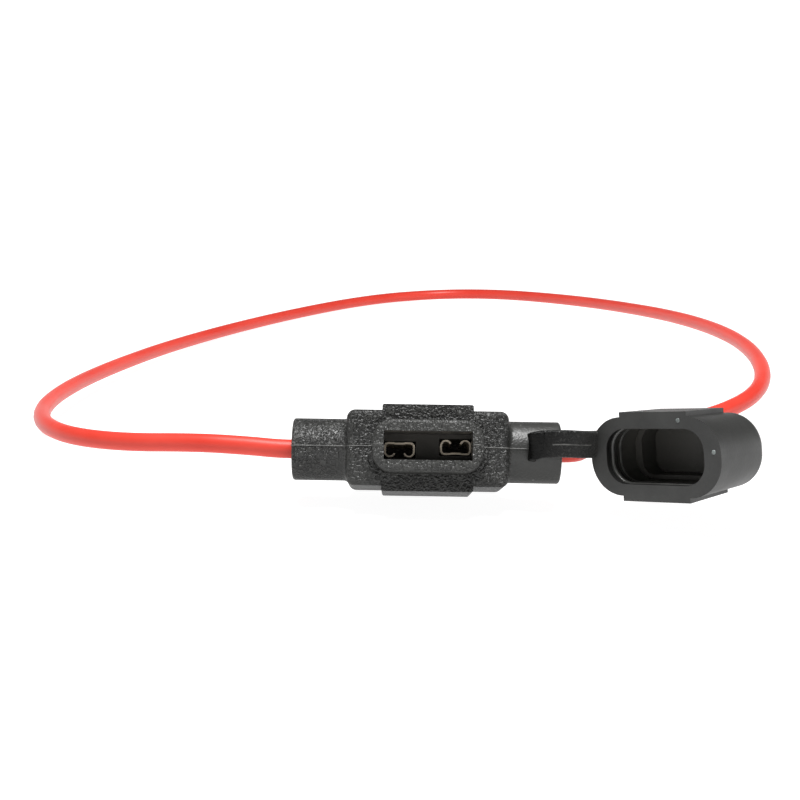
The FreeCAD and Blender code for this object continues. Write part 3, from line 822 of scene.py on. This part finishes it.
def addTether():
    path = smoothPath([*(fromHolder(*p) for p in tether["curl"]), fromCap(*tether["rim"])])
    first, second = tether["shares"]
    shares = (
        ("strapRoot", path[: first + 1], "strap", "holder", "tether"),
        ("strapMiddle", path[first : second + 1], "strap_tip", "tether", "tip"),
        ("strapEnd", path[second:], "strap_tip", "tip", "cap"),
    )
    for name, points, replaced, before, after in shares:
        sizes = (tether[size] for size in ("width", "thickness", "edge", "spacing"))
        piece = sweepAlong(name, points, skins["strap"], *sizes)
        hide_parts(replaced)
        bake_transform(piece)
    # the mould seam stands out along the middle of the strap's outer face, painted paler as a highlight
    outside = []
    for before, here, after in zip(path, path[1:], path[2:]):
        along = after - before
        outside.append(here + Vector((along.y, -along.x, 0)).normalized() * tether["thickness"] / 2 * mm)
    seams = (
        ("strapSeamMiddle", outside[tether["seamFrom"] - 1 : second], "tether", "tip"),
        ("strapSeamEnd", outside[second - 1 : -tether["seamShort"]], "tip", "cap"),
    )
    for name, points, before, after in seams:
        piece = sweepBead(name, points, skins["seam"], tether["seamWidth"], tether["seamSpacing"])
        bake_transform(piece)


addTether()
print("strap swept")


partingLine = {
    "width": 0.17,
    "spacing": 0.1,
    "lift": 0.15,
    # mid-height outline of the left half in the holder's frame, boss end to collar rim
    "outline": [
        (-18.8, -3.95), (-18.68, -4.23), (-18.4, -4.35), (-11.69, -4.35), (-11.36, -4.45),
        (-11.14, -4.71), (-10.84, -5.07), (-10.4, -5.2), (-8.2, -5.2), (-8.2, -5.56),
        (-7.6, -5.56), (-7.49, -8.45), (-7.33, -8.81), (-6.99, -8.95), (-6.1, -8.95),
    ],
    # the right half mirrors it, but its boss, past this x, ends here
    "bossPast": -18,
    "rightBoss": 18.6,
}


def addPartingLine():
    outline, lift = partingLine["outline"], partingLine["lift"]
    left = [fromHolder(x, y, lift) for x, y in outline]
    shorter = partingLine["rightBoss"] + outline[0][0]
    right = [
        fromHolder(-x + (shorter if x < partingLine["bossPast"] else 0), y, lift) for x, y in outline
    ]
    for name, points in (("partingLeft", left), ("partingRight", right)):
        piece = sweepBead(name, points, skins["seam"], partingLine["width"], partingLine["spacing"])
        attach(piece, "holder")


addPartingLine()
print("parting line swept")


capDetails = {
    # the mouth's inner wall in the cap's frame: half width, half height, corner
    "wall": (7.94, 3.97, 3.19),
    "lipDepths": (1.6, 3.3),
    "lipThick": 0.5,
    "lipSpacing": 0.2,
    # places on the mouth face, x and z in the cap's frame
    "pips": [(-4.06, 4.91), (-9.26, 0.74)],
    "pipRadius": 0.31,
    "pipHeight": 0.16,
}


def roundedLoop(halfWidth, halfHeight, corner, steps=10):
    points = []
    for k, (sx, sy) in enumerate(((1, -1), (1, 1), (-1, 1), (-1, -1))):
        acrossMiddle, upMiddle = sx * (halfWidth - corner), sy * (halfHeight - corner)
        for step in range(steps + 1):
            angle = math.radians(-90 + 90 * k + 90 * step / steps)
            points.append((acrossMiddle + corner * math.cos(angle), upMiddle + corner * math.sin(angle)))
    return points


def addLips():
    thick, spacing = capDetails["lipThick"], capDetails["lipSpacing"]
    for name, depth in zip(("sealLip1", "sealLip2"), capDetails["lipDepths"]):
        loop = [fromCap(x, capSkin["mouthY"] - depth, z) for x, z in roundedLoop(*capDetails["wall"])]
        piece = sweepBead(name, loop, skins["seal_lip"], thick, spacing, closed=True)
        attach(piece, "cap")


def buildPips():
    # low round domes at the points of a mesh
    tree = bpy.data.node_groups.new("raisedPips", "GeometryNodeTree")
    tree.interface.new_socket("Geometry", in_out="INPUT", socket_type="NodeSocketGeometry")
    tree.interface.new_socket("Radius", in_out="INPUT", socket_type="NodeSocketFloat").default_value = 0.0004
    tree.interface.new_socket("Rotation", in_out="INPUT", socket_type="NodeSocketRotation")
    tree.interface.new_socket("Flatness", in_out="INPUT", socket_type="NodeSocketVector")
    tree.interface.new_socket("Material", in_out="INPUT", socket_type="NodeSocketMaterial")
    tree.interface.new_socket("Geometry", in_out="OUTPUT", socket_type="NodeSocketGeometry")
    nodes, links = tree.nodes, tree.links
    start, end = nodes.new("NodeGroupInput"), nodes.new("NodeGroupOutput")
    dome = nodes.new("GeometryNodeMeshIcoSphere")
    dome.inputs["Subdivisions"].default_value = 3
    place = nodes.new("GeometryNodeInstanceOnPoints")
    whole = nodes.new("GeometryNodeRealizeInstances")
    finish = nodes.new("GeometryNodeSetMaterial")
    links.new(start.outputs["Radius"], dome.inputs["Radius"])
    links.new(start.outputs["Geometry"], place.inputs["Points"])
    links.new(dome.outputs["Mesh"], place.inputs["Instance"])
    links.new(start.outputs["Rotation"], place.inputs["Rotation"])
    links.new(start.outputs["Flatness"], place.inputs["Scale"])
    links.new(place.outputs["Instances"], whole.inputs["Geometry"])
    links.new(whole.outputs["Geometry"], finish.inputs["Geometry"])
    links.new(start.outputs["Material"], finish.inputs["Material"])
    links.new(finish.outputs["Geometry"], end.inputs["Geometry"])
    return tree


def addPips():
    mesh = bpy.data.meshes.new("pipPlaces")
    mesh.from_pydata([fromCap(x, capSkin["mouthY"], z) for x, z in capDetails["pips"]], [], [])
    seed = bpy.data.objects.new("pipPlaces", mesh)
    bpy.context.scene.collection.objects.link(seed)
    modifier = seed.modifiers.new("domes", "NODES")
    modifier.node_group = buildPips()
    setInput(modifier, "Radius", capDetails["pipRadius"] * mm)
    setInput(modifier, "Rotation", lieCap.to_euler())
    setInput(modifier, "Flatness", (1.0, capDetails["pipHeight"] / capDetails["pipRadius"], 1.0))
    setInput(modifier, "Material", skins["pips"])
    piece = pieceFrom(seed, "capPips")
    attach(piece, "cap")


addLips()
addPips()
print("cap details added")


studio = {
    "paper": (0.30, 0.30, 0.30),
    "glow": 0.95,
    "sky": 0.10,
    "roughness": 0.9,
    "specular": 0.2,
    # the paper is a wide round bowl, in metres: flat under the part, then swept up all round it
    "flat": 1.7,
    "bend": 0.45,
    "bendSteps": 12,
    "sides": 64,
    "lamps": [
        # name, place in mm, aimed at in mm, size in mm, power in watts
        ("overhead", (-20, -40, 400), (0, 0, 5), (170, 150), 2.8),
        ("rightFill", (330, -60, 60), (15, 0, 8), (160, 100), 0.2),
    ],
}


def addStudio():
    bend, steps, sides = studio["bend"], studio["bendSteps"], studio["sides"]
    side = [(studio["flat"], 0.0)]
    for k in range(1, steps + 1):
        angle = math.radians(90 * k / steps)
        side.append((studio["flat"] + bend * math.sin(angle), bend * (1 - math.cos(angle))))
    turns = [2 * math.pi * k / sides for k in range(sides)]
    corners = [(r * math.cos(a), r * math.sin(a), z) for r, z in side for a in turns]
    faces = [tuple(range(sides))]
    for ring in range(len(side) - 1):
        for k in range(sides):
            here, there = ring * sides + k, ring * sides + (k + 1) % sides
            faces.append((here, here + sides, there + sides, there))
    mesh = bpy.data.meshes.new("paperBowl")
    mesh.from_pydata(corners, [], faces)
    for face in mesh.polygons:
        face.use_smooth = True
    floor = bpy.data.objects.new("paperBowl", mesh)
    bpy.context.scene.collection.objects.link(floor)
    material, nodes, links, shader = newMaterial("palePaper")
    shader.inputs["Base Color"].default_value = (*studio["paper"], 1)
    shader.inputs["Roughness"].default_value = studio["roughness"]
    shader.inputs["Specular IOR Level"].default_value = studio["specular"]
    shader.inputs["Emission Color"].default_value = (1, 1, 1, 1)
    shader.inputs["Emission Strength"].default_value = studio["glow"]
    mesh.materials.append(material)
    for name, place, aim, extent, power in studio["lamps"]:
        data = bpy.data.lights.new(name, "AREA")
        data.shape = "RECTANGLE"
        data.size, data.size_y = extent[0] * mm, extent[1] * mm
        data.energy = power
        lamp = bpy.data.objects.new(name, data)
        bpy.context.scene.collection.objects.link(lamp)
        lamp.location = Vector(place) * mm
        lamp.rotation_euler = (Vector(aim) - Vector(place)).to_track_quat("-Z", "Y").to_euler()
    world = bpy.data.worlds.new("whiteStudio")
    world.use_nodes = True
    background = world.node_tree.nodes["Background"]
    background.inputs["Color"].default_value = (1, 1, 1, 1)
    background.inputs["Strength"].default_value = studio["sky"]
    bpy.context.scene.world = world
    bpy.context.scene.view_settings.view_transform = "Standard"


addStudio()
print("studio lit")
